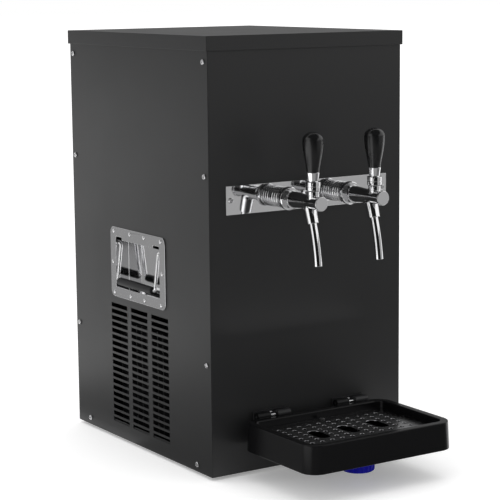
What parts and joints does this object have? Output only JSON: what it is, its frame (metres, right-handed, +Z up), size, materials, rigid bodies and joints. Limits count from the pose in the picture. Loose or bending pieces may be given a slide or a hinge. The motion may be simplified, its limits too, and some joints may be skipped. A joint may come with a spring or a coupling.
{
  "type": "beer tap cooler",
  "caption": "Upright cabinet cooler that chills and pours draught beer through lever taps over a fold-up drip tray, with recessed carry handles on its sides.",
  "frame": {"origin": "on the floor under the middle of the cabinet", "axes": "+Z up, the taps and the drip tray face -Y, +X is to the right of someone facing the taps"},
  "size_m": [0.3516, 0.6063, 0.625],
  "materials": {
    "cabinet_paint": "satin black powder coat",
    "galvanised_sheet": "satin",
    "polished_plate": "mirror polished stainless steel",
    "tap_chrome": "polished chrome plate",
    "screw_steel": "zinc plated",
    "black_steel": "blackened steel",
    "piston_steel": "satin stainless steel",
    "knob_black": "gloss black moulding",
    "tray_black": "gloss black moulding",
    "grate_grey": "satin dark grey",
    "drain_blue": "gloss blue moulding",
    "fitting_black": "matte black moulding",
    "rubber_black": "matte",
    "handle_steel": "satin pressed steel",
    "bail_chrome": "bright plated rod",
    "grip_black": "satin",
    "foam": "cut insulating foam",
    "block_aluminium": "cast",
    "copper": "drawn copper tube",
    "compressor_black": "satin black enamel",
    "fan_plastic": "matte black moulding",
    "hose_clear": "milky hose",
    "rocker_red": "gloss red moulding"
  },
  "bodies": {
    "cabinet": {"base_pan": "cabinet_paint", "front_panel": "cabinet_paint", "back_panel": "cabinet_paint", "left_side_panel": "cabinet_paint", "right_side_panel": "cabinet_paint", "lid": "cabinet_paint", "rubber_feet": "rubber_black", "panel_screws": "screw_steel", "shelf": "galvanised_sheet", "insulated_box": "foam", "insulated_cover": "foam", "cold_block": "block_aluminium", "evaporator_coil": "copper", "compressor": "compressor_black", "compressor_mounts": "rubber_black", "condenser": "compressor_black", "fan_shroud": "galvanised_sheet", "fan_motor": "galvanised_sheet", "refrigerant_lines": "copper", "beer_lines": "hose_clear", "beer_inlets": "fitting_black", "thermostat": "fitting_black", "mains_inlet": "fitting_black", "tap_plate": "polished_plate", "front_screws": "screw_steel", "shanks": "tap_chrome", "shank_nuts": "screw_steel", "shank_collars": "tap_chrome", "coupling_rings": "tap_chrome", "left_tap_body": "tap_chrome", "right_tap_body": "tap_chrome", "front_caps": "tap_chrome", "bonnet_nuts": "tap_chrome", "left_spout": "tap_chrome", "right_spout": "tap_chrome", "hinge_brackets": "fitting_black", "hinge_pins": "screw_steel", "left_handle_dish": "handle_steel", "right_handle_dish": "handle_steel", "handle_rivets": "screw_steel"},
    "left_lever": {"left_lever": "tap_chrome", "left_knob": "knob_black"},
    "right_lever": {"right_lever": "tap_chrome", "right_knob": "knob_black"},
    "left_piston": {"left_piston": "piston_steel"},
    "right_piston": {"right_piston": "piston_steel"},
    "drip_tray": {"drip_tray": "tray_black", "drip_grate": "grate_grey", "grate_screw": "black_steel", "drain_spigot": "fitting_black", "drain_nut": "drain_blue", "tray_bumpers": "rubber_black"},
    "left_handle": {"left_handle_bail": "bail_chrome", "left_handle_grip": "grip_black"},
    "right_handle": {"right_handle_bail": "bail_chrome", "right_handle_grip": "grip_black"},
    "fan": {"fan_blades": "fan_plastic"},
    "thermostat_knob": {"thermostat_knob": "fitting_black"},
    "mains_rocker": {"mains_rocker": "rocker_red"}
  },
  "joints": [
    {"name": "left_lever_tilt", "type": "hinge", "parent": "cabinet", "child": "left_lever", "pos_m": [-0.0525, -0.2905, 0.4105], "axis": [1, 0, 0], "range_deg": [-15, 30]},
    {"name": "left_piston_slide", "type": "slide", "parent": "cabinet", "child": "left_piston", "axis": [0, 1, 0], "range_m": [-0.0036, 0.007]},
    {"name": "right_lever_tilt", "type": "hinge", "parent": "cabinet", "child": "right_lever", "pos_m": [0.0525, -0.2905, 0.4105], "axis": [1, 0, 0], "range_deg": [-15, 30]},
    {"name": "right_piston_slide", "type": "slide", "parent": "cabinet", "child": "right_piston", "axis": [0, 1, 0], "range_m": [-0.0036, 0.007]},
    {"name": "drip_tray_fold", "type": "hinge", "parent": "cabinet", "child": "drip_tray", "pos_m": [0, -0.2119, 0.0855], "axis": [-1, 0, 0], "range_deg": [0, 90]},
    {"name": "left_handle_swing", "type": "hinge", "parent": "cabinet", "child": "left_handle", "pos_m": [-0.1629, 0, 0.3085], "axis": [0, 1, 0], "range_deg": [0, 83]},
    {"name": "right_handle_swing", "type": "hinge", "parent": "cabinet", "child": "right_handle", "pos_m": [0.1629, 0, 0.3085], "axis": [0, -1, 0], "range_deg": [0, 83]},
    {"name": "fan_spin", "type": "hinge", "parent": "cabinet", "child": "fan", "pos_m": [-0.0996, 0, 0.0952], "axis": [1, 0, 0], "continuous": true},
    {"name": "thermostat_turn", "type": "hinge", "parent": "cabinet", "child": "thermostat_knob", "pos_m": [0.096, 0.2025, 0.525], "axis": [0, 1, 0], "range_deg": [0, 270]},
    {"name": "mains_rocker_tilt", "type": "hinge", "parent": "cabinet", "child": "mains_rocker", "pos_m": [-0.096, 0.2005, 0.112], "axis": [1, 0, 0], "range_deg": [-16, 0]}
  ],
  "couplings": [
    {"joint": "left_piston_slide", "follows": "left_lever_tilt", "m_per_rad": 0.013},
    {"joint": "right_piston_slide", "follows": "right_lever_tilt", "m_per_rad": 0.013}
  ]
}
